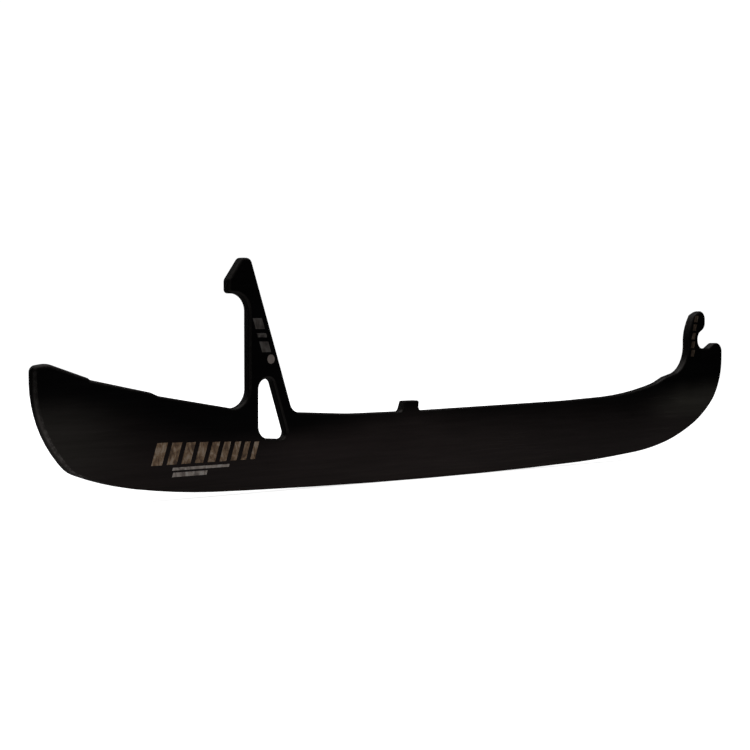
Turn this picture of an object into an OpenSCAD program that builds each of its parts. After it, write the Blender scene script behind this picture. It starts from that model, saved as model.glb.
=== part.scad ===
// Replacement steel runner for an ice hockey skate, as one flat plate with its laser-etched marks.
// X runs from heel to toe, Y through the thickness, Z up. The origin is the centre of the front pin,
// at mid thickness, where the holder holds the runner. Heights are given from the lowest point of the
// running edge, and lengths from the tail, the toe or mid length, as each comment says.
// Every rounded corner of the plate is a true arc.

/* [Plate] */
// Overall length from tail to toe
plate_len = 285; // [240:0.5:320]
// Thickness of the steel
plate_t = 3; // [2.5:0.1:4]
// Radius of the long rocker on the running edge
rocker_r = 2500; // [1800:50:4000]
// Half of the angle that the rocker turns through
rocker_half = 1.75; // [1:0.05:3]
// Distance of the lowest point behind mid length
rocker_back = 8; // [0:1:20]

/* [Running edge, heel side] */
// Distance from the tail to the corner where the rocker gives way to the heel
heel_rise_in = 41.8; // [30:0.1:60]
// Radius between the rocker and the heel
heel_rise_r = 220; // [150:5:400]
// Distance from the tail to the middle of the heel sweep
heel_in = 20.5; // [15:0.5:30]
// Height of the heel sweep
heel_z = 5.1; // [3:0.1:8]
// Radius of the heel sweep
heel_r = 90; // [50:5:140]
// Distance from the tail to the heel corner
heel_corner_in = 10.1; // [5:0.1:15]
// Height of the heel corner
heel_corner_z = 9; // [6:0.5:14]
// Radius of the heel corner
heel_corner_r = 9; // [4:0.5:15]
// Height where the tail stops being upright
tail_turn_z = 20; // [12:1:28]
// Radius of the tail sweep
tail_r = 31; // [20:1:45]

/* [Running edge, toe side] */
// Distance from the toe to the corner where the rocker gives way to the toe
toe_rise_in = 72.5; // [60:0.5:90]
// Radius between the rocker and the toe
toe_rise_r = 520; // [300:10:800]
// Distance from the toe to the first toe sweep
toe_low_in = 42.5; // [30:0.5:50]
// Height of the first toe sweep
toe_low_z = 3.4; // [2:0.1:6]
// Radius of the first toe sweep
toe_low_r = 120; // [80:5:200]
// Distance from the toe to the second toe sweep
toe_mid_in = 24.5; // [18:0.5:30]
// Height of the second toe sweep
toe_mid_z = 7.9; // [5:0.1:11]
// Radius of the second toe sweep
toe_mid_r = 90; // [60:5:120]
// Distance from the toe to the third toe sweep
toe_high_in = 9.7; // [6:0.1:14]
// Height of the third toe sweep
toe_high_z = 15.1; // [10:0.1:20]
// Radius of the third toe sweep
toe_high_r = 41; // [25:1:60]
// Height where the toe turns upright
toe_turn_z = 25.8; // [20:0.1:32]
// Radius of the toe nose
toe_r = 23.5; // [15:0.5:30]

/* [Front hook] */
// Diameter of the holder pin that the hook takes
pin_d = 6.5; // [5:0.1:8]
// Distance of the pin centre behind the toe
pin_in = 11.6; // [8:0.1:16]
// Height of the pin centre
pin_z = 41.75; // [34:0.05:50]
// Slope of the lip over the pin
lip_slope = 31; // [15:1:45]
// Distance from the toe to the front of the lip
lip_in = 10.5; // [6:0.1:14]
// Radius under the lip
lip_low_r = 2.9; // [1:0.1:4]
// Radius on top of the lip
lip_top_r = 3; // [1:0.1:4]
// Height of the hook
hook_top_z = 52.1; // [46:0.1:60]
// Distance from the toe to the shoulder of the hook
shoulder_in = 16.9; // [12:0.1:22]
// Radius of the shoulder
shoulder_r = 6.8; // [3:0.1:10]
// Distance from the toe to the back of the hook
hook_back_in = 20.7; // [16:0.1:26]
// Height where the back of the hook starts to lean
hook_lean_z = 44.2; // [38:0.1:50]
// Radius where the back of the hook starts to lean
hook_lean_r = 13; // [6:0.5:20]
// Height where the back of the hook meets the blade
hook_root_z = 31.3; // [28:0.1:36]
// Radius at the root of the hook
hook_root_r = 10.2; // [5:0.1:14]
// Height of the nose in front of the pin
nose_z = 40.5; // [36:0.1:46]
// Radius of the nose
nose_r = 3.2; // [1:0.1:5]
// Distance from the toe to the top of the ramp into the throat
ramp_top_in = 4.8; // [3:0.1:7]
// Radius at the top of the ramp
ramp_top_r = 2; // [0.5:0.1:4]
// Distance from the toe to the foot of the ramp
ramp_foot_in = 8.5; // [7:0.1:11]
// Radius at the foot of the ramp
ramp_foot_r = 1.5; // [0.5:0.1:3]

/* [Top edge] */
// Distance from the toe to the hump behind the hook
hump_in = 33.5; // [28:0.5:40]
// Height of the hump
hump_z = 28.5; // [24:0.1:32]
// Radius of the hump
hump_r = 9.7; // [4:0.1:20]
// Distance from the toe to the dip behind the hump
dip_in = 38.9; // [34:0.1:44]
// Height of the dip
dip_z = 26.4; // [22:0.1:30]
// Radius of the dip
dip_r = 20; // [5:1:40]
// Distance from the toe to the long rise
rise_in = 55.2; // [45:0.1:70]
// Height of the long rise
rise_z = 22.8; // [20:0.1:26]
// Radius of the long rise
rise_r = 150; // [80:5:300]
// Distance from the toe to the front end of the seat
seat_front_in = 87.5; // [70:0.5:110]
// Height of the front end of the seat
seat_front_z = 21.6; // [18:0.1:26]
// Radius at the front end of the seat
seat_front_r = 345; // [100:5:600]
// Distance of the tab front behind mid length
tab_x = 12.5; // [0:0.1:30]
// Height of the seat at the tab
seat_z = 20.6; // [18:0.1:26]
// Length of the tab at its root
tab_len = 7.1; // [4:0.1:12]
// Rise of the tab above the seat
tab_h = 3.1; // [2:0.1:6]
// Lean of the rear side of the tab
tab_lean = 1.4; // [0:0.1:2]
// Radius of the corners of the tab
tab_r = 0.6; // [0.2:0.1:1.5]
// Radius at the root of the tab
tab_root_r = 1.3; // [0.5:0.1:2]
// Distance of the rear end of the seat behind mid length
seat_rear_x = 39.4; // [30:0.1:50]
// Radius at the rear end of the seat
seat_rear_r = 115; // [50:5:300]

/* [Tower] */
// Distance from the tail to the rear side of the tower
tower_in = 66; // [50:0.5:80]
// Overall height of the plate at the tower
tower_z = 64.4; // [55:0.1:75]
// Distance from the tail to the foot of the sloping front
tower_foot_in = 81.3; // [70:0.1:95]
// Height of the foot of the sloping front
tower_foot_z = 21.8; // [18:0.1:26]
// Radius at the foot of the sloping front
tower_foot_r = 3.5; // [1:0.1:6]
// Distance from the tail to the front of the tower top
tower_top_in = 66.7; // [60:0.1:75]
// Radius at the front of the tower top
tower_top_r = 1.9; // [0.5:0.1:3]
// Length of the flat top
tower_flat = 3.1; // [2:0.1:6]
// Radius at the rear of the tower top
tower_back_r = 1.5; // [0.5:0.1:3]
// Reach of the latch hook behind the tower
latch_reach = 6.9; // [4:0.1:10]
// Height where the latch hook turns upright
latch_turn_z = 58.3; // [54:0.1:62]
// Radius where the latch hook turns upright
latch_turn_r = 1.7; // [0.5:0.1:3]
// Height of the latch face under the hook
latch_z = 54.6; // [48:0.1:60]
// Radius at the tip of the latch hook
latch_tip_r = 1.1; // [0.3:0.1:2]
// Radius between the latch face and the tower
latch_root_r = 4.8; // [3:0.1:7]
// Height where the tower meets the tail
tower_root_z = 22.6; // [18:0.1:28]
// Radius between the tower and the tail
tower_root_r = 5.2; // [3:0.1:8]

/* [Window] */
// Width of steel between the rear side of the tower and the window
window_wall = 3.3; // [2:0.1:6]
// Height of the rear lower corner of the window
window_low_z = 15; // [10:0.1:20]
// Radius of the rear lower corner
window_low_r = 3.5; // [1:0.1:5]
// Distance from the tail to the front lower corner
window_front_in = 79.7; // [74:0.1:84]
// Height of the front lower corner
window_front_z = 14.3; // [10:0.1:20]
// Radius of the front lower corner
window_front_r = 1.8; // [0.5:0.1:3]
// Length of the top side of the window
window_top = 4.7; // [3:0.1:7]
// Height of the top side
window_top_z = 31.3; // [26:0.1:36]
// Radius of the front upper corner
window_top_r = 2; // [0.5:0.1:3]
// Radius of the rear upper corner
window_rear_r = 2.9; // [0.5:0.1:3]

/* [Tail] */
// Height of the tail
tail_z = 35.8; // [30:0.1:42]
// Radius of the tail corner
tail_corner_r = 1.8; // [0.5:0.1:4]
// Distance from the tail to its crest
crest_in = 4.3; // [2:0.1:8]
// Height of the crest
crest_z = 36.4; // [30:0.1:42]
// Radius of the crest
crest_r = 5.6; // [2:0.1:10]
// Distance from the tail to the small ledge
ledge_in = 15.6; // [12:0.1:20]
// Height of the small ledge
ledge_z = 32.6; // [28:0.1:38]
// Drop of the small ledge
ledge_drop = 0.5; // [0.2:0.1:1]
// Length of the small ledge
ledge_len = 0.8; // [0.5:0.1:2]
// Radius of the small ledge
ledge_r = 1; // [0.2:0.1:2]
// Distance from the tail to the step
step_in = 34.2; // [30:0.1:40]
// Height of the step
step_z = 28.5; // [25:0.1:32]
// Drop of the step
step_drop = 1; // [0.5:0.1:2]
// Length of the step
step_len = 2.5; // [1:0.1:4]
// Radius of the step
step_r = 3; // [0.5:0.1:5]

/* [Laser marks] */
// Depth of the etched pockets
etch_depth = 0.12; // [0.05:0.01:0.3]
// Thickness of the bright metal left in each pocket
etch_skin = 0.1; // [0.04:0.01:0.25]
// Gap round the bright metal
etch_gap = 0.02; // [0.01:0.01:0.05]
// Lean of the stripes from upright
stripe_lean = 18; // [0:1:30]
// Number of stripes in the large mark
stripe_count = 9; // [3:1:10]
// Width of the widest stripe
stripe_wide = 3.4; // [2:0.1:4]
// Width of the narrowest stripe
stripe_narrow = 1.6; // [1:0.1:3]
// Gap between stripes
stripe_gap = 1.4; // [0.6:0.1:2]
// Height of the first stripe
stripe_tall = 5.9; // [3:0.1:8]
// Height of the last stripe
stripe_low = 4.8; // [2:0.1:8]
// Distance from the tail to the large mark
stripe_in = 34; // [20:0.5:60]
// Height of the foot of the large mark
stripe_z = 9.4; // [6:0.1:12]
// Length of the upper underline
under_long = 18.5; // [8:0.5:30]
// Length of the lower underline
under_short = 11; // [6:0.5:30]
// Thickness of the upper underline
under_long_t = 0.8; // [0.4:0.1:1.2]
// Thickness of the lower underline
under_short_t = 1.2; // [0.4:0.1:1.2]
// Distance from the tail to the underlines
under_in = 40.5; // [20:0.5:60]
// Height of the lower underline
under_z = 6.1; // [4:0.1:9]
// Gap between the underlines
under_gap = 0.5; // [0.3:0.1:1]
// Width of the bars on the tower
tower_bar_w = 3.2; // [2:0.1:5]
// Height of the tall bars on the tower
tower_bar_h = 3; // [1.5:0.1:4]
// Height of the thin bar on the tower
tower_bar_thin = 1.2; // [0.6:0.1:2]
// Gap between the bars on the tower
tower_bar_gap = 1.1; // [0.5:0.1:2]
// Height of the foot of the bars on the tower
tower_bar_z = 38.6; // [30:0.1:45]
// Distance from the rear side of the tower to the lowest bar
tower_bar_in = 4.3; // [2:0.1:6]
// Diameter of the dot on the tower
tower_dot_d = 2.6; // [1.5:0.1:3]
// Distance from the rear side of the tower to the middle of the dot
tower_dot_in = 7.4; // [6.8:0.1:8]
// Height of the middle of the dot
tower_dot_z = 36.7; // [35:0.1:36.9]
// Width of the bars on the front hook
hook_bar_w = 2; // [1:0.1:3]
// Height of the bars on the front hook
hook_bar_h = 2.4; // [1:0.1:2.6]
// Pitch of the bars on the front hook
hook_bar_pitch = 3.1; // [2.8:0.1:3.1]
// Height of the foot of the lowest bar on the front hook
hook_bar_z = 35.6; // [33:0.1:40]
// Distance from the back of the front hook to the lowest bar
hook_bar_in = 1.2; // [0.5:0.1:3]
// Number of bars on the front hook
hook_bar_count = 5; // [2:1:5]
// Distance that the top bar stands ahead of the lowest
hook_bar_run = 2; // [0:0.1:2.5]

/* [Hidden] */
// Blend that keeps the throat cylinder from meeting the mouth tangentially
throat_lap = 0.05;
// Share of a corner's tangent length that its web reaches past the corner
web_lap = 0.5;
// Most that a rounding arc stands over the sides it joins
web_hair = 0.01;
tail_x = -plate_len / 2;
toe_x = plate_len / 2;
rocker_v = rocker_r * (1 - 1 / cos(rocker_half));
tower_x = tail_x + tower_in;
pin_x = toe_x - pin_in;
pin_r = pin_d / 2;
mouth_r = pin_r - throat_lap;
tab_rear_x = -tab_x - tab_len;
window_x = tower_x + window_wall;

function unit(v) = v / norm(v);
function at(v) = [v[0], v[1]];
function rocker_line(x) = rocker_v + abs(x + rocker_back) * tan(rocker_half);
function half_angle(a, p, b) = acos(unit(a - p) * unit(b - p)) / 2;
function left_turn(a, p, b) = cross(p - a, b - p) > 0;
function facets(r) = 4 * ceil(12 * sqrt(r));

// Corners of the plate as [x, z, corner radius], running from tail to toe below and back above
outline = [
    [tail_x, tail_turn_z, tail_r],
    [tail_x + heel_corner_in, heel_corner_z, heel_corner_r],
    [tail_x + heel_in, heel_z, heel_r],
    [tail_x + heel_rise_in, rocker_line(tail_x + heel_rise_in), heel_rise_r],
    [-rocker_back, rocker_v, rocker_r],
    [toe_x - toe_rise_in, rocker_line(toe_x - toe_rise_in), toe_rise_r],
    [toe_x - toe_low_in, toe_low_z, toe_low_r],
    [toe_x - toe_mid_in, toe_mid_z, toe_mid_r],
    [toe_x - toe_high_in, toe_high_z, toe_high_r],
    [toe_x, toe_turn_z, toe_r],
    [toe_x, nose_z, nose_r],
    [toe_x - ramp_top_in, nose_z, ramp_top_r],
    [toe_x - ramp_foot_in, pin_z - mouth_r, ramp_foot_r],
    [pin_x, pin_z - mouth_r, 0],
    [pin_x - mouth_r * sin(lip_slope), pin_z + mouth_r * cos(lip_slope), 0],
    [toe_x - lip_in, pin_z + mouth_r / cos(lip_slope) + (pin_in - lip_in) * tan(lip_slope), lip_low_r],
    [toe_x - lip_in, hook_top_z, lip_top_r],
    [toe_x - shoulder_in, hook_top_z, shoulder_r],
    [toe_x - hook_back_in, hook_lean_z, hook_lean_r],
    [toe_x - hook_back_in, hook_root_z, hook_root_r],
    [toe_x - hump_in, hump_z, hump_r],
    [toe_x - dip_in, dip_z, dip_r],
    [toe_x - rise_in, rise_z, rise_r],
    [toe_x - seat_front_in, seat_front_z, seat_front_r],
    [-tab_x, seat_z, tab_root_r],
    [-tab_x, seat_z + tab_h, tab_r],
    [tab_rear_x + tab_lean, seat_z + tab_h, tab_r],
    [tab_rear_x, seat_z, tab_root_r],
    [-seat_rear_x, seat_z, seat_rear_r],
    [tail_x + tower_foot_in, tower_foot_z, tower_foot_r],
    [tail_x + tower_top_in, tower_z, tower_top_r],
    [tail_x + tower_top_in - tower_flat, tower_z, tower_back_r],
    [tower_x - latch_reach, latch_turn_z, latch_turn_r],
    [tower_x - latch_reach, latch_z, latch_tip_r],
    [tower_x, latch_z, latch_root_r],
    [tower_x, tower_root_z, tower_root_r],
    [tail_x + step_in + step_len, step_z - step_drop, step_r],
    [tail_x + step_in, step_z, step_r],
    [tail_x + ledge_in + ledge_len, ledge_z - ledge_drop, ledge_r],
    [tail_x + ledge_in, ledge_z, ledge_r],
    [tail_x + crest_in, crest_z, crest_r],
    [tail_x, tail_z, tail_corner_r]
];

// Corners of the window as [x, z, corner radius]
window = [
    [window_x, window_low_z, window_low_r],
    [tail_x + window_front_in, window_front_z, window_front_r],
    [window_x + window_top, window_top_z, window_top_r],
    [window_x, window_top_z, window_rear_r]
];

// The web between a sharp corner and its rounding arc, carried past the corner by a lap.
// The arc crosses the two sides a hair before it would touch them, so it always cuts cleanly.
module web(a, p, b, r) {
    h = half_angle(a, p, b);
    t = r / tan(h);
    inward = unit(unit(a - p) + unit(b - p));
    depth = r / sin(h) - r;
    hair = min(web_hair, depth / 50);
    difference() {
        polygon([p - inward * t * web_lap, p + unit(a - p) * t, p + unit(b - p) * t]);
        translate(p + inward * r / sin(h)) circle(r = r + hair, $fn = facets(r));
    }
}

// All webs of a corner list whose corners turn the given way
module webs(corners, left) {
    n = len(corners);
    for (i = [0 : n - 1]) {
        a = at(corners[(i + n - 1) % n]);
        p = at(corners[i]);
        b = at(corners[(i + 1) % n]);
        r = corners[i][2];
        if (r > 0 && left_turn(a, p, b) == left) web(a, p, b, r);
    }
}

// A closed shape with every corner rounded
module rounded(corners) {
    difference() {
        union() {
            polygon([for (v = corners) at(v)]);
            webs(corners, false);
        }
        webs(corners, true);
    }
}

// A bar that leans forward, drawn from its lower rear corner and drawn in by the gap
module bar(w, h, lean, gap) {
    k = tan(lean);
    g = gap / cos(lean);
    polygon([
        [gap * k + g, gap],
        [gap * k + w - g, gap],
        [(h - gap) * k + w - g, h - gap],
        [(h - gap) * k + g, h - gap]
    ]);
}

// The large mark: stripes that narrow and shorten towards the toe
function stripe_w(i) = stripe_wide + (stripe_narrow - stripe_wide) * i / (stripe_count - 1);
function stripe_h(i) = stripe_tall + (stripe_low - stripe_tall) * i / (stripe_count - 1);
function stripe_start(i) = i == 0 ? 0 : stripe_start(i - 1) + stripe_w(i - 1) + stripe_gap;

module stripes(gap) {
    for (i = [0 : stripe_count - 1])
        translate([tail_x + stripe_in + stripe_start(i), stripe_z])
            bar(stripe_w(i), stripe_h(i), stripe_lean, gap);
}

// Two long thin bars under the large mark
module underlines(gap) {
    translate([tail_x + under_in, under_z])
        bar(under_short, under_short_t, stripe_lean, gap);
    translate([tail_x + under_in, under_z + under_short_t + under_gap])
        bar(under_long, under_long_t, stripe_lean, gap);
}

// Bars up the tower that lean back with its front, over a dot
module tower_bars(gap) {
    run = (tower_foot_in - tower_top_in) / (tower_z - tower_foot_z);
    back = -atan(run);
    x0 = tower_x + tower_bar_in;
    z2 = tower_bar_h + tower_bar_gap;
    z3 = z2 + tower_bar_thin + tower_bar_gap;
    translate([x0, tower_bar_z]) bar(tower_bar_w, tower_bar_h, back, gap);
    translate([x0 - z2 * run, tower_bar_z + z2]) bar(tower_bar_w, tower_bar_thin, back, gap);
    translate([x0 - z3 * run, tower_bar_z + z3]) bar(tower_bar_w, tower_bar_h, back, gap);
    translate([tower_x + tower_dot_in, tower_dot_z])
        circle(d = tower_dot_d - 2 * gap, $fn = facets(tower_dot_d / 2));
}

// Bars up the front hook that follow its forward curve
module hook_bars(gap) {
    x0 = toe_x - hook_back_in + hook_bar_in;
    for (i = [0 : hook_bar_count - 1])
        translate([x0 + hook_bar_run * pow(i / (hook_bar_count - 1), 2), hook_bar_z + hook_bar_pitch * i])
            bar(hook_bar_w, hook_bar_h, stripe_lean, gap);
}

// Etched pockets, open through the visible face
module pocket() {
    translate([0, -plate_t / 2 + etch_depth, 0])
        rotate([90, 0, 0])
            linear_extrude(height = plate_t) children();
}

// Bright metal on the floor of a pocket
module bright() {
    color([0.36, 0.31, 0.28])
        about_pin()
            translate([0, -plate_t / 2 + etch_depth, 0])
                rotate([90, 0, 0])
                    linear_extrude(height = etch_skin) children();
}

// Puts the centre of the front pin on the origin
module about_pin() {
    translate([-pin_x, 0, -pin_z]) children();
}

module runner() {
    color([0.06, 0.06, 0.06])
        about_pin()
            difference() {
                rotate([90, 0, 0])
                    linear_extrude(height = plate_t, center = true)
                        difference() {
                            rounded(outline);
                            rounded(window);
                            translate([pin_x, pin_z]) circle(d = pin_d, $fn = facets(pin_r));
                        }
                pocket() stripes(0);
                pocket() underlines(0);
                pocket() tower_bars(0);
                pocket() hook_bars(0);
            }
}

module stripe_mark() bright() stripes(etch_gap);

module underline_mark() bright() underlines(etch_gap);

module tower_mark() bright() tower_bars(etch_gap);

module hook_mark() bright() hook_bars(etch_gap);

runner();
stripe_mark();
underline_mark();
tower_mark();
hook_mark();
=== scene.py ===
# A black-coated steel runner for an ice hockey skate, standing on a plain pale floor.
import bpy, bmesh, math
from types import SimpleNamespace
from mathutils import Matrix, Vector
from mathutils.geometry import delaunay_2d_cdt, intersect_point_line


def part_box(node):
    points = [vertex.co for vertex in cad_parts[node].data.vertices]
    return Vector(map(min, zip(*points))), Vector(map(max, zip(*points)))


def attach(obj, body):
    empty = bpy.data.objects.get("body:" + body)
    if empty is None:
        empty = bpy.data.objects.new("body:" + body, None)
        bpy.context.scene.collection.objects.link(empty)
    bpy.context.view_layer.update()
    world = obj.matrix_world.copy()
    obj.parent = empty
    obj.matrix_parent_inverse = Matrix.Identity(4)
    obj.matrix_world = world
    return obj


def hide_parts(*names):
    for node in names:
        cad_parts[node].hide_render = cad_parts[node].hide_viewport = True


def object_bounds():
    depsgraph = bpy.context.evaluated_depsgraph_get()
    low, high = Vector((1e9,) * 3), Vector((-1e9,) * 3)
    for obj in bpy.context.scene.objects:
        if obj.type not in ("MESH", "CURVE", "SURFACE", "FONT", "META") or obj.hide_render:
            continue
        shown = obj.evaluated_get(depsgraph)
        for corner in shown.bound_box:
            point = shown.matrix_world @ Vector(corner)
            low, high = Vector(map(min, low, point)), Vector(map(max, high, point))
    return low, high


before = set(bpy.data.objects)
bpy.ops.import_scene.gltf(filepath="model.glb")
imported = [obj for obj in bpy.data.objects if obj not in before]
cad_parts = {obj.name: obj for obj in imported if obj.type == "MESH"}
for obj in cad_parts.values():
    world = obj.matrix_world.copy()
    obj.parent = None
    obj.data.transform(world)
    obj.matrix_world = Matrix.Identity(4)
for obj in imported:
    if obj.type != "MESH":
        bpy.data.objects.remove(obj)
cad_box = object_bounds()
MM = 0.001

# ---------------------------------------------------------------- sizes, in metres
# The plate, from the frame
plate_low, plate_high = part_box("runner")
HALF_T = plate_high.y                            # half the thickness of the plate
ICE = plate_low.z                                # level of the lowest point of the running edge
POCKET_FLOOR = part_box("stripe_mark")[1].y        # how deep the etched pockets go, on Y
CENTRE = (cad_box[0] + cad_box[1]) / 2
LENGTH = cad_box[1].x - cad_box[0].x
TOWER_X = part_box("tower_mark")[0].x - CENTRE.x   # the tower, from mid length

# Rounding of the plate's edges
ROUND = 0.7 * MM                                 # on the tumbled edges
TAIL_ROUND = 1.1 * MM                            # round the tail, where the edge is ground softer
TAIL_EASE = (0.42 * LENGTH, 0.46 * LENGTH)       # behind mid length, where that starts and is whole
KEEN = 0.12 * MM                                 # on the running edge
KEEN_HEIGHTS = (4 * MM, 13 * MM)                 # all keen up to the first, not at all over the second
KEEN_SLOPES = (0.55, 0.90)                       # how far down an edge faces, where keen starts and is whole
TIGHT = 0.75                                     # most rounding, as a share of a corner's own radius
CLEAR = 0.8                                      # most rounding, as a share of the distance to a pocket
EASE = 0.35                                      # most change in rounding for each length of edge
STEPS = 5                                        # steps round each rounded edge
LEAST_GAP = 0.02 * MM                            # edge points closer together than this are one point
FINE_STEP = 0.4 * MM                             # spacing of the extra edge points beside a pocket
CDT_SCALE = 1000                                 # the filling of faces is worked out in millimetres

# Zones along the blade, in half lengths from the middle: where each starts, and where it is whole
TAIL_ZONE = (-0.74, -0.95)
TOE_ZONE = (0.62, 0.86)
# The next zone and the tail heights below place a painted highlight on the tail's arris
TAIL_HIGHLIGHT_ZONE = (-0.80, -0.92)
# Patches along the blade: place from mid length, and reach on either side
MIDDLE_PATCH = (-24 * MM, 70 * MM)
TOWER_PATCH = (TOWER_X, 42 * MM)
# Heights of the painted dark reflection band: plain, at the ends, added in the middle, added at the tower
BAND_START = (8.5 * MM, 19 * MM, 4.5 * MM, 0.0)
BAND_WHOLE = (26.5 * MM, 30 * MM, -2 * MM, -6.5 * MM)
BAND_WANDER = 2 * MM                             # how far the band's border wanders up and down
# Heights over the running edge: where each effect starts, and where it is whole or gone
# Heights of the painted sheen at the tail and at the toe:
TAIL_SHEEN_HEIGHTS = (2 * MM, 15 * MM)
TOE_SHEEN_HEIGHTS = (11 * MM, 21 * MM)
ICE_STREAK_HEIGHTS = (1 * MM, 6 * MM)
# Painted reflection of the floor, lighter towards the running edge:
FLOOR_REFLECTION_HEIGHTS = (0, 16 * MM)
# Painted highlight on the tail's arris, fading upwards:
TAIL_HIGHLIGHT_HEIGHTS = (12 * MM, 28 * MM)
MATT_HEIGHTS = (36 * MM, 46 * MM)
DOT_TOP = 38.2 * MM                              # between the tower mark's dot and its lowest bar

NOISE = (0.3, 0.7)                               # nearly all of a noise lies between these
SAME_POINT = 1e-7                                # vertices closer together than this are one vertex
ON_FACE = 1e-6                                   # how close to a flat face its polygons lie

# ---------------------------------------------------------------- tones
BROWN_BLACK = (0.0202, 0.0158, 0.0154)
WARM_BLACK = (0.0272, 0.0210, 0.0204)
# Painted sheen at the tail and at the toe
TAIL_SHEEN = (0.0270, 0.0245, 0.0222)
TOE_SHEEN = (0.0540, 0.0506, 0.0433)
GROUND_BROWN = (0.0380, 0.0290, 0.0250)
# Painted dark reflection, high on the plate
DEEP_BLACK = (0.0022, 0.0022, 0.0024)
# Pale of worn arrises, also used for the painted highlight on the tail's arris
RUBBED_AND_HIGHLIGHT = (0.120, 0.112, 0.108)
WARM_GLOSS = (1.0, 0.88, 0.82, 1)
# Heat tints of the etched marks: burnt, middle and pale
BRONZE_TINTS = [(0.100, 0.058, 0.033), (0.242, 0.150, 0.084), (0.420, 0.320, 0.236)]
PALE_TINTS = [(0.200, 0.165, 0.150), (0.400, 0.340, 0.300), (0.520, 0.480, 0.450)]


# ---------------------------------------------------------------- node helpers
class Nodes:
    """Short forms for building a shader."""

    def __init__(self, tree):
        self.tree = tree
        tree.nodes.clear()

    def add(self, kind, **settings):
        node = self.tree.nodes.new(kind)
        for name, value in settings.items():
            setattr(node, name, value)
        return node

    def link(self, output, socket):
        self.tree.links.new(output, socket)

    def spot(self):
        """The point of the surface, in the object's own frame."""
        return self.add("ShaderNodeTexCoord").outputs["Object"]

    def split(self, vector):
        axes = self.add("ShaderNodeSeparateXYZ")
        self.link(vector, axes.inputs[0])
        return axes.outputs

    def noise(self, scale, detail, rough, stretch=(1, 1, 1), distortion=0.0):
        mapping = self.add("ShaderNodeMapping")
        mapping.inputs["Scale"].default_value = stretch
        self.link(self.spot(), mapping.inputs["Vector"])
        noise = self.add("ShaderNodeTexNoise")
        noise.inputs["Scale"].default_value = scale
        noise.inputs["Detail"].default_value = detail
        noise.inputs["Roughness"].default_value = rough
        noise.inputs["Distortion"].default_value = distortion
        self.link(mapping.outputs["Vector"], noise.inputs["Vector"])
        return noise.outputs["Fac"]

    def ramp(self, value, stops):
        """Colours along a value. Each stop is (position, colour)."""
        ramp = self.add("ShaderNodeValToRGB")
        elements = ramp.color_ramp.elements
        while len(elements) < len(stops):
            elements.new(0.5)
        for element, (position, colour) in zip(elements, stops):
            element.position = position
            element.color = (*colour, 1.0)
        self.link(value, ramp.inputs["Fac"])
        return ramp.outputs["Color"]

    def remap(self, value, start, end, at_start, at_end, ease="LINEAR"):
        """The value moved from one range to another, and held at its ends."""
        ranged = self.add("ShaderNodeMapRange", interpolation_type=ease)
        for i, limit in enumerate((start, end, at_start, at_end)):
            ranged.inputs[i + 1].default_value = limit
        self.link(value, ranged.inputs[0])
        return ranged.outputs[0]

    def smooth(self, value, start, end, at_start=0.0, at_end=1.0):
        return self.remap(value, start, end, at_start, at_end, "SMOOTHSTEP")

    def maths(self, operation, first, second):
        """Two values put together, where the second may be a plain number."""
        result = self.add("ShaderNodeMath", operation=operation)
        self.link(first, result.inputs[0])
        if isinstance(second, (int, float)):
            result.inputs[1].default_value = second
        else:
            self.link(second, result.inputs[1])
        return result.outputs[0]

    def plus(self, first, second):
        return self.maths("ADD", first, second)

    def minus(self, first, second):
        return self.maths("SUBTRACT", first, second)

    def times(self, first, second):
        return self.maths("MULTIPLY", first, second)

    def mix(self, share, first, second):
        """From one colour to another. Either may be a plain colour."""
        mixed = self.add("ShaderNodeMix", data_type="RGBA")
        self.link(share, mixed.inputs["Factor"])
        for socket, colour in ((mixed.inputs[6], first), (mixed.inputs[7], second)):
            if isinstance(colour, tuple):
                socket.default_value = (*colour, 1.0)
            else:
                self.link(colour, socket)
        return mixed.outputs[2]

    def shaded(self, colour, shade):
        """The colour multiplied by a grey value."""
        product = self.add("ShaderNodeMix", data_type="RGBA", blend_type="MULTIPLY")
        product.inputs["Factor"].default_value = 1.0
        self.link(colour, product.inputs[6])
        self.link(shade, product.inputs[7])
        return product.outputs[2]

    def bump(self, height, distance, strength, normal=None):
        bump = self.add("ShaderNodeBump")
        bump.inputs["Distance"].default_value = distance
        bump.inputs["Strength"].default_value = strength
        self.link(height, bump.inputs["Height"])
        if normal is not None:
            self.link(normal, bump.inputs["Normal"])
        return bump.outputs["Normal"]

    def shown_to_camera(self, seen, mirrored, output_kind):
        """One shader for what the camera sees directly, and another for reflections and light."""
        path = self.add("ShaderNodeLightPath")
        pick = self.add("ShaderNodeMixShader")
        output = self.add(output_kind)
        self.link(path.outputs["Is Camera Ray"], pick.inputs["Fac"])
        self.link(mirrored, pick.inputs[1])
        self.link(seen, pick.inputs[2])
        self.link(pick.outputs["Shader"], output.inputs["Surface"])


def empty_material(name):
    """A new material with no nodes, and its node builder."""
    material = bpy.data.materials.new(name)
    material.use_nodes = True
    return material, Nodes(material.node_tree)


def principled_material(name):
    """A new material, its node builder and its Principled shader."""
    material, nodes = empty_material(name)
    shader = nodes.add("ShaderNodeBsdfPrincipled")
    output = nodes.add("ShaderNodeOutputMaterial")
    nodes.link(shader.outputs["BSDF"], output.inputs["Surface"])
    return material, nodes, shader


# ---------------------------------------------------------------- materials
def near(nodes, along, place, reach):
    """1 at a place along the blade, easing to 0 at the given reach on either side."""
    away = nodes.maths("ABSOLUTE", nodes.minus(along, place), 0)
    return nodes.smooth(away, 0.25 * reach, reach, 1.0, 0.0)


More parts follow.
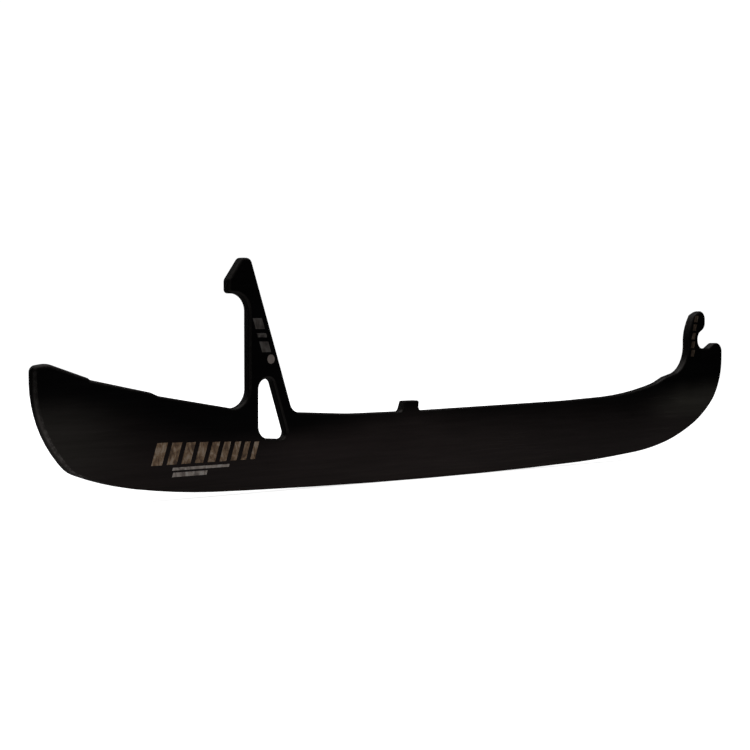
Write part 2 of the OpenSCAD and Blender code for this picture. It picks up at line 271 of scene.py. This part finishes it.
def blade_zones(nodes):
    """The blade's zones as masks from 0 to 1, with the height over the running edge, the distance from mid
    thickness, and the place along the blade in half lengths."""
    x, y, z = nodes.split(nodes.spot())
    along = nodes.minus(x, CENTRE.x)
    share = nodes.maths("DIVIDE", along, LENGTH / 2)
    tail = nodes.smooth(share, *TAIL_ZONE)
    toe = nodes.smooth(share, *TOE_ZONE)
    return SimpleNamespace(
        share=share,
        height=nodes.minus(z, ICE),
        off_middle=nodes.maths("ABSOLUTE", y, 0),
        tail=tail,
        toe=toe,
        ends=nodes.plus(tail, toe),
        middle=near(nodes, along, *MIDDLE_PATCH),
        at_tower=near(nodes, along, *TOWER_PATCH),
    )


def band_height(nodes, zones, plain, at_ends, in_middle, at_tower):
    """Height of one border of the black band, which differs from zone to zone."""
    height = nodes.remap(zones.ends, 0, 1, plain, at_ends)
    height = nodes.plus(height, nodes.remap(zones.middle, 0, 1, 0, in_middle))
    return nodes.plus(height, nodes.remap(zones.at_tower, 0, 1, 0, at_tower))


def painted_reflection_band(nodes, zones):
    """1 high on the plate, where a dark reflection is painted into the colour, easing to 0 towards the ice.
    """
    start = band_height(nodes, zones, *BAND_START)
    whole = band_height(nodes, zones, *BAND_WHOLE)
    wander = nodes.remap(nodes.noise(22, detail=3, rough=0.5), *NOISE, -BAND_WANDER, BAND_WANDER)
    above = nodes.minus(nodes.plus(zones.height, wander), start)
    return nodes.smooth(nodes.maths("DIVIDE", above, nodes.minus(whole, start)), 0, 1)


def open_tone(nodes, zones):
    """Tone under the band: brown black, with a painted sheen that greys the ends, and scratched close to the
    ice.
    """
    tone = nodes.mix(zones.middle, BROWN_BLACK, WARM_BLACK)
    # Painted sheen: the lighter tail and toe stand in for lamps lighting the ends.
    tail_sheen = nodes.times(zones.tail, nodes.smooth(zones.height, *TAIL_SHEEN_HEIGHTS, 0.15, 1.0))
    tone = nodes.mix(tail_sheen, tone, TAIL_SHEEN)
    toe_sheen = nodes.times(zones.toe, nodes.smooth(zones.height, *TOE_SHEEN_HEIGHTS, 0.15, 1.0))
    tone = nodes.mix(toe_sheen, tone, TOE_SHEEN)
    near_ice = nodes.smooth(zones.height, *ICE_STREAK_HEIGHTS, 0.5, 0.0)
    streaks = nodes.remap(nodes.noise(1500, detail=3, rough=0.6, stretch=(0.02, 1, 1)), 0.50, 0.66, 0, 1)
    return nodes.mix(nodes.times(streaks, near_ice), tone, GROUND_BROWN)


def rubbed_and_highlit(nodes, zones, colour, worn):
    """The colour with its arrises worn pale by the worn share, and with a painted highlight low round the
    tail's arris.
    """
    patchy = nodes.remap(nodes.noise(620, detail=5, rough=0.75), 0.44, 0.60, 0.12, 1.0)
    arris = nodes.remap(zones.off_middle, 0.60 * HALF_T, 0.90 * HALF_T, 0, 1)
    # Painted highlight: paler low round the tail's arris, where a lamp's gleam falls.
    at_tail = nodes.smooth(zones.share, *TAIL_HIGHLIGHT_ZONE)
    painted_highlight_low = nodes.smooth(zones.height, *TAIL_HIGHLIGHT_HEIGHTS, 0.56, 0.05)
    strength = nodes.plus(nodes.times(at_tail, painted_highlight_low), worn)
    return nodes.mix(nodes.times(nodes.times(patchy, arris), strength), colour, RUBBED_AND_HIGHLIGHT)


def coated_steel(name, gloss, least_rough, depth, worn):
    """Thin black coating over lengthwise ground steel. The depth is the share of each tone that shows, and
    where worn is over 0 the arrises are worn pale, with a painted highlight low round the tail."""
    material, nodes, shader = principled_material(name)
    zones = blade_zones(nodes)
    grind = nodes.noise(900, detail=4, rough=0.6, stretch=(0.06, 1, 1))
    cloud = nodes.noise(38, detail=4, rough=0.55, stretch=(0.5, 1, 1))
    pores = nodes.noise(4200, detail=2, rough=0.5)

    lines = nodes.remap(grind, *NOISE, 0.84 * depth, 1.16 * depth)
    shade = nodes.times(nodes.remap(cloud, 0.35, 0.68, 0.88, 1.06), lines)
    # Painted reflection of the floor: lighter low on the plate, darker higher up.
    shade = nodes.times(shade, nodes.remap(zones.height, *FLOOR_REFLECTION_HEIGHTS, 1.18, 0.90))
    # Painted reflection: deep black high on the plate stands in for the dark surroundings that the face
    # mirrors.
    tone = nodes.mix(painted_reflection_band(nodes, zones), open_tone(nodes, zones), DEEP_BLACK)
    colour = nodes.shaded(tone, shade)
    if worn:
        # Worn pale arrises, with a painted highlight low round the tail.
        colour = rubbed_and_highlit(nodes, zones, colour, worn)
    nodes.link(colour, shader.inputs["Base Color"])

    rough = nodes.remap(grind, *NOISE, least_rough, least_rough + 0.07)
    rough = nodes.plus(rough, nodes.remap(cloud, *NOISE, -0.02, 0.03))
    rough = nodes.plus(rough, nodes.remap(zones.height, *MATT_HEIGHTS, 0.0, 0.14))
    nodes.link(rough, shader.inputs["Roughness"])
    shader.inputs["Specular IOR Level"].default_value = gloss
    shader.inputs["Specular Tint"].default_value = WARM_GLOSS
    ground = nodes.bump(grind, 0.01 * MM, 0.12)
    nodes.link(nodes.bump(pores, 0.006 * MM, 0.12, ground), shader.inputs["Normal"])
    return material


def etched_metal(name, tints, share, bright_below=None):
    """Laser-etched steel: fine hatch lines, and heat tints that run from burnt to pale. Only a share of the
    tints shows, and more of them below the given height."""
    material, nodes, shader = principled_material(name)
    hatch = nodes.noise(5200, detail=2, rough=0.5, stretch=(1, 1, 0.12))
    burn = nodes.noise(620, detail=4, rough=0.62, stretch=(1, 1, 0.6), distortion=0.6)
    burnt, middle, pale = ([share * part for part in tint] for tint in tints)
    colour = nodes.ramp(burn, [(0.38, burnt), (0.50, middle), (0.62, pale)])
    if bright_below:
        lower = nodes.maths("LESS_THAN", nodes.minus(nodes.split(nodes.spot())["Z"], ICE), bright_below)
        colour = nodes.mix(lower, colour, nodes.ramp(burn, [(0.30, tints[0]), (0.95, tints[1])]))
    nodes.link(colour, shader.inputs["Base Color"])
    nodes.link(nodes.remap(burn, *NOISE, 0.52, 0.68), shader.inputs["Roughness"])
    shader.inputs["Metallic"].default_value = 0.2
    nodes.link(nodes.bump(hatch, 0.02 * MM, 0.4), shader.inputs["Normal"])
    return material


FACE = coated_steel("black_coating", gloss=0.05, least_rough=0.20, depth=1.0, worn=0.0)
# The rim coating is the face coating at 0.35 of its tone: painted shade on the plate's edges.
RIM = coated_steel("black_coating_rim", gloss=0.17, least_rough=0.33, depth=0.35, worn=0.05)
MARKS = {
    "stripe_mark": etched_metal("etched_bronze", BRONZE_TINTS, share=1.0),
    "underline_mark": etched_metal("etched_pale", PALE_TINTS, share=1.0),
    "tower_mark": etched_metal("etched_faint_pale", PALE_TINTS, share=0.20, bright_below=DOT_TOP),
    "hook_mark": etched_metal("etched_faint_bronze", BRONZE_TINTS, share=0.30),
}


# ---------------------------------------------------------------- loops of edge points
# A loop is a list of (x, z) points in order, which closes on itself. In a 2-D Vector, y is the plate's Z.
def sides(loop):
    """Each pair of neighbouring points round the loop."""
    return zip(loop, loop[1:] + loop[:1])


def area(loop):
    return 0.5 * sum(a[0] * b[1] - b[0] * a[1] for a, b in sides(loop))


def contains(loop, point):
    inside = False
    for (x1, z1), (x2, z2) in sides(loop):
        if (z1 > point.y) != (z2 > point.y) and point.x < (x2 - x1) * (point.y - z1) / (z2 - z1) + x1:
            inside = not inside
    return inside


def face_loops(node, side):
    """The loops round a node's flat face on one side of the plate, largest first."""
    bm = bmesh.new()
    bm.from_mesh(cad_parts[node].data)
    bmesh.ops.remove_doubles(bm, verts=bm.verts, dist=SAME_POINT)
    bm.normal_update()
    flat = {
        face for face in bm.faces
        if face.normal.y * side > 0.99 and abs(face.calc_center_median().y - side * HALF_T) < ON_FACE
    }
    follow = {}
    for face in flat:
        for corner in face.loops:
            if all(other is face or other not in flat for other in corner.edge.link_faces):
                follow[corner.vert] = corner.link_loop_next.vert
    loops = []
    while follow:
        vert = next(iter(follow))
        loop = []
        while vert in follow:
            loop.append((vert.co.x, vert.co.z))
            vert = follow.pop(vert)
        loops.append(cleaned(loop))
    bm.free()
    loops.sort(key=lambda loop: -abs(area(loop)))
    return loops


def cleaned(loop):
    """The loop without points that are closer together than the least gap."""
    kept = [loop[0]]
    for point in loop[1:]:
        if math.dist(point, kept[-1]) > LEAST_GAP:
            kept.append(point)
    if math.dist(kept[0], kept[-1]) <= LEAST_GAP:
        kept.pop()
    return kept


def inward(loop, hole):
    """At each point, the direction into the metal, stretched so that the sides move in evenly."""
    turn = 1 if (area(loop) > 0) != hole else -1
    result = []
    for i, point in enumerate(loop):
        here = Vector(point)
        before = (here - Vector(loop[i - 1])).normalized()
        after = (Vector(loop[(i + 1) % len(loop)]) - here).normalized()
        side = Vector((-before.y, before.x)) * turn
        both = (side + Vector((-after.y, after.x)) * turn).normalized()
        result.append(both / max(0.5, both.dot(side)))
    return result


def clearance(point, pockets):
    """Distance from an edge point to the nearest side of an etched pocket."""
    here = Vector(point)
    best = math.inf
    for pocket in pockets:
        for a, b in sides(pocket):
            _, share = intersect_point_line(here, Vector(a), Vector(b))
            nearest = Vector(a).lerp(Vector(b), min(1.0, max(0.0, share)))
            best = min(best, (nearest - here).length)
    return best


def refined(loop, pockets):
    """The loop with extra points where a straight stretch passes close to a pocket."""
    result = []
    for a, b in sides(loop):
        result.append(a)
        parts = math.ceil(math.dist(a, b) / FINE_STEP)
        between = [tuple(Vector(a).lerp(Vector(b), k / parts)) for k in range(1, parts)]
        result += [point for point in between if clearance(point, pockets) < 2 * ROUND]
    return result


# ---------------------------------------------------------------- rounding of the edges
def eased(value, start, whole):
    """0 up to the start, 1 from where it is whole, and straight between them."""
    return min(1.0, max(0.0, (value - start) / (whole - start)))


def wanted_rounding(point, into):
    """The rounding that an edge point would have: nearly none on the running edge, softest round the tail."""
    facing_down = eased(into.y, *KEEN_SLOPES)
    low = 1.0 - eased(point[1] - ICE, *KEEN_HEIGHTS)
    at_tail = eased(CENTRE.x - point[0], *TAIL_EASE)
    soft = ROUND + (TAIL_ROUND - ROUND) * at_tail
    return soft + (KEEN - soft) * facing_down * low


def corner_radius(before, point, after, into):
    """Radius of the circle through three edge points where the metal bulges out, else no limit."""
    (ax, ay), (px, py), (bx, by) = before, point, after
    if into.x * ((ax + bx) / 2 - px) + into.y * ((ay + by) / 2 - py) <= 0:
        return math.inf
    double_area = abs((px - ax) * (by - ay) - (bx - ax) * (py - ay))
    product = math.dist(before, point) * math.dist(point, after) * math.dist(after, before)
    return product / max(2 * double_area, 1e-15)


def roundings(loop, into, pockets):
    """The rounding at each edge point, less at tight corners and beside pockets, and easing between them."""
    count = len(loop)
    size = []
    for i, point in enumerate(loop):
        radius = corner_radius(loop[i - 1], point, loop[(i + 1) % count], into[i])
        wanted = wanted_rounding(point, into[i])
        size.append(min(wanted, TIGHT * radius, CLEAR * clearance(point, pockets)))
    for step in (1, -1):
        for k in range(2 * count)[::step]:
            i = k % count
            j = (k - step) % count
            size[i] = min(size[i], size[j] + EASE * math.dist(loop[i], loop[j]))
    return size


# ---------------------------------------------------------------- the plate's mesh
def arris_rings(bm, loop, into, size, side):
    """Rings of vertices round one arris, from the flat face to the middle of the edge."""
    rings = []
    for step in range(STEPS + 1):
        angle = math.pi / 2 * step / STEPS
        ring = []
        for point, direction, radius in zip(loop, into, size):
            x, z = Vector(point) + direction * radius * (1 - math.sin(angle))
            ring.append(bm.verts.new((x, side * (HALF_T - radius * (1 - math.cos(angle))), z)))
        rings.append(ring)
    return rings


def rounded_edge(bm, loop, hole, pockets):
    """The edge surface round the plate or its window, and its rings from the near face to the far one."""
    loop = refined(loop, pockets)
    into = inward(loop, hole)
    size = roundings(loop, into, pockets)
    near_arris = arris_rings(bm, loop, into, size, -1)
    far_arris = arris_rings(bm, loop, into, size, 1)
    rings = near_arris + far_arris[::-1]
    for low, high in zip(rings, rings[1:]):
        for (a, b), (c, d) in zip(sides(low), sides(high)):
            face = bm.faces.new((a, b, d, c))
            face.smooth = True
            face.material_index = 1
    return rings


def pocket_walls(bm, loop):
    """The walls and floor of an etched pocket, and its rim."""
    rim = [bm.verts.new((x, -HALF_T, z)) for x, z in loop]
    floor = [bm.verts.new((x, POCKET_FLOOR, z)) for x, z in loop]
    for (a, b), (c, d) in zip(sides(rim), sides(floor)):
        bm.faces.new((a, b, d, c))
    bm.faces.new(floor)
    return rim


def flat_face(bm, outer, inner):
    """A flat face inside the outer ring of vertices and outside the inner ones."""
    verts = []
    edges = []
    for ring in [outer, *inner]:
        start = len(verts)
        edges += [(start + i, start + (i + 1) % len(ring)) for i in range(len(ring))]
        verts += ring
    points = [Vector((vert.co.x, vert.co.z)) * CDT_SCALE for vert in verts]
    placed, _, faces, origins, _, _ = delaunay_2d_cdt(points, edges, [], 1, SAME_POINT)
    holes = [[(vert.co.x * CDT_SCALE, vert.co.z * CDT_SCALE) for vert in ring] for ring in inner]
    for face in faces:
        middle = sum((placed[i] for i in face), Vector((0, 0))) / len(face)
        if not any(contains(hole, middle) for hole in holes):
            bm.faces.new([verts[origins[i][0]] for i in face])


def build_plate():
    """The plate as one closed mesh: flat faces in slot 0, and the whole edge with its arrises in slot 1."""
    outline, window, *pockets = face_loops("runner", -1)
    bm = bmesh.new()
    outer = rounded_edge(bm, outline, False, pockets)
    inner = rounded_edge(bm, window, True, pockets)
    rims = [pocket_walls(bm, loop) for loop in pockets]
    flat_face(bm, outer[0], [inner[0], *rims])
    flat_face(bm, outer[-1], [inner[-1]])
    bmesh.ops.recalc_face_normals(bm, faces=bm.faces)
    return new_object("runner_plate", bm)


def new_object(name, bm):
    """A scene object made from a bmesh, which is then freed."""
    mesh = bpy.data.meshes.new(name)
    bm.to_mesh(mesh)
    bm.free()
    made = bpy.data.objects.new(name, mesh)
    bpy.context.scene.collection.objects.link(made)
    return made


plate = build_plate()
plate.data.materials.append(FACE)
plate.data.materials.append(RIM)
normals = plate.modifiers.new("even_normals", "WEIGHTED_NORMAL")
normals.keep_sharp = True
normals.weight = 50
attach(plate, "root")
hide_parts("runner")

for mark, material in MARKS.items():
    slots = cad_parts[mark].data.materials
    slots.clear()
    slots.append(material)


# ---------------------------------------------------------------- floor and surroundings
FLOOR_RADIUS = 1.1
WHITE = 1.05                                     # strength of the surroundings that the camera sees
DIM = 0.02                                       # strength of the surroundings that the object reflects
PAPER = (0.9, 0.9, 0.9, 1)
WARM_WHITE = (1, 0.985, 0.97, 1)
# Each is (near distance, far distance, strength there, strength beyond). FRONT runs along Y.
GLOW = (0.10, 0.40, 0.80, WHITE)
POOL = (0.06, 0.36, 0.42, 0.01)
FRONT = (-0.015, 0.005, 1.0, 0.18)
TAIL_POOL = (0.02, 0.07, 1.15, 0.0)
# Centre of each, from the middle of the floor, and the share at which lengths along X count
GLOW_PLACE = (0, 0, 0.7)
POOL_PLACE = (-0.05, 0, 0.8)
TAIL_POOL_PLACE = (-0.19, -0.03, 1.0)


def floor_distance(nodes, spot, x, y, squeeze):
    """Distance on the floor from a point, with lengths along X counted at a share."""
    mapping = nodes.add("ShaderNodeMapping", vector_type="POINT")
    mapping.inputs["Location"].default_value = (-x * squeeze, -y, 0)
    mapping.inputs["Scale"].default_value = (squeeze, 1, 1)
    nodes.link(spot, mapping.inputs["Vector"])
    distance = nodes.add("ShaderNodeVectorMath", operation="LENGTH")
    nodes.link(mapping.outputs["Vector"], distance.inputs[0])
    return distance.outputs["Value"]


def floor_material():
    """A pale floor that the camera sees as bright as the surroundings. What the object reflects of it is a
    pool of light in front, brightest beside the tail, which dies away to the back and the distance."""
    material, nodes = empty_material("floor_pale")
    spot = nodes.spot()
    front = nodes.remap(nodes.split(spot)["Y"], *FRONT)
    pool = nodes.times(nodes.remap(floor_distance(nodes, spot, *POOL_PLACE), *POOL), front)
    beside_tail = nodes.remap(floor_distance(nodes, spot, *TAIL_POOL_PLACE), *TAIL_POOL)
    mirrored = nodes.add("ShaderNodeEmission")
    nodes.link(nodes.plus(pool, beside_tail), mirrored.inputs["Strength"])
    paper = nodes.add("ShaderNodeBsdfDiffuse")
    paper.inputs["Color"].default_value = PAPER
    glow = nodes.add("ShaderNodeEmission")
    nodes.link(nodes.remap(floor_distance(nodes, spot, *GLOW_PLACE), *GLOW), glow.inputs["Strength"])
    seen = nodes.add("ShaderNodeAddShader")
    nodes.link(paper.outputs[0], seen.inputs[0])
    nodes.link(glow.outputs[0], seen.inputs[1])
    nodes.shown_to_camera(seen.outputs[0], mirrored.outputs[0], "ShaderNodeOutputMaterial")
    return material


def floor_disc():
    bm = bmesh.new()
    bmesh.ops.create_circle(bm, cap_ends=True, radius=FLOOR_RADIUS, segments=128)
    disc = new_object("floor", bm)
    disc.data.materials.append(floor_material())
    disc.location = (CENTRE.x, 0, cad_box[0].z)
    return disc


def background(nodes, colour, strength):
    light = nodes.add("ShaderNodeBackground")
    light.inputs["Color"].default_value = colour
    light.inputs["Strength"].default_value = strength
    return light.outputs["Background"]


def surroundings():
    """White to the camera, and nearly dark in the object's gloss."""
    world = bpy.data.worlds.new("studio")
    world.use_nodes = True
    nodes = Nodes(world.node_tree)
    seen = background(nodes, (1, 1, 1, 1), WHITE)
    mirrored = background(nodes, WARM_WHITE, DIM)
    nodes.shown_to_camera(seen, mirrored, "ShaderNodeOutputWorld")
    return world


floor_disc()
bpy.context.scene.world = surroundings()
bpy.context.scene.view_settings.view_transform = "Standard"


# ---------------------------------------------------------------- lights and camera
def facing(subject, place, direction):
    """Puts a light or camera at a place, looking along a direction."""
    holder = bpy.data.objects.new(subject.name, subject)
    bpy.context.scene.collection.objects.link(holder)
    holder.location = place
    holder.rotation_mode = "QUATERNION"
    holder.rotation_quaternion = direction.to_track_quat("-Z", "Y")
    return holder


def softbox(name, offset, size, glow):
    """A square soft light of a given brightness, aimed at the middle of the plate from an offset."""
    light = bpy.data.lights.new(name, "AREA")
    light.shape = "SQUARE"
    light.size = size
    light.energy = glow * math.pi * size * size
    return facing(light, CENTRE + Vector(offset), -Vector(offset))


softbox("overhead", offset=(0, 0, 0.75), size=1.2, glow=1.3)
softbox("behind", offset=(0, 0.6, 0.06), size=0.36, glow=1.6)

YAW = math.radians(42)                           # round from square on, towards the tail
RISE = math.radians(1.5)                         # how far the view looks down
REACH = 0.4418                                   # distance from the camera to where it aims
AIM_BACK = 0.1024 * LENGTH                       # how far behind mid length it aims
AIM_DOWN = 0.6 * MM                              # how far under mid height it aims


def make_camera():
    lens = bpy.data.cameras.new("camera")
    lens.sensor_width = 36
    lens.lens = 72
    lens.clip_start = 0.01
    lens.clip_end = 20
    look = Vector((math.sin(YAW) * math.cos(RISE), math.cos(YAW) * math.cos(RISE), -math.sin(RISE)))
    aim = Vector((CENTRE.x - AIM_BACK, 0, CENTRE.z - AIM_DOWN))
    return facing(lens, aim - look * REACH, look)


bpy.context.scene.camera = make_camera()
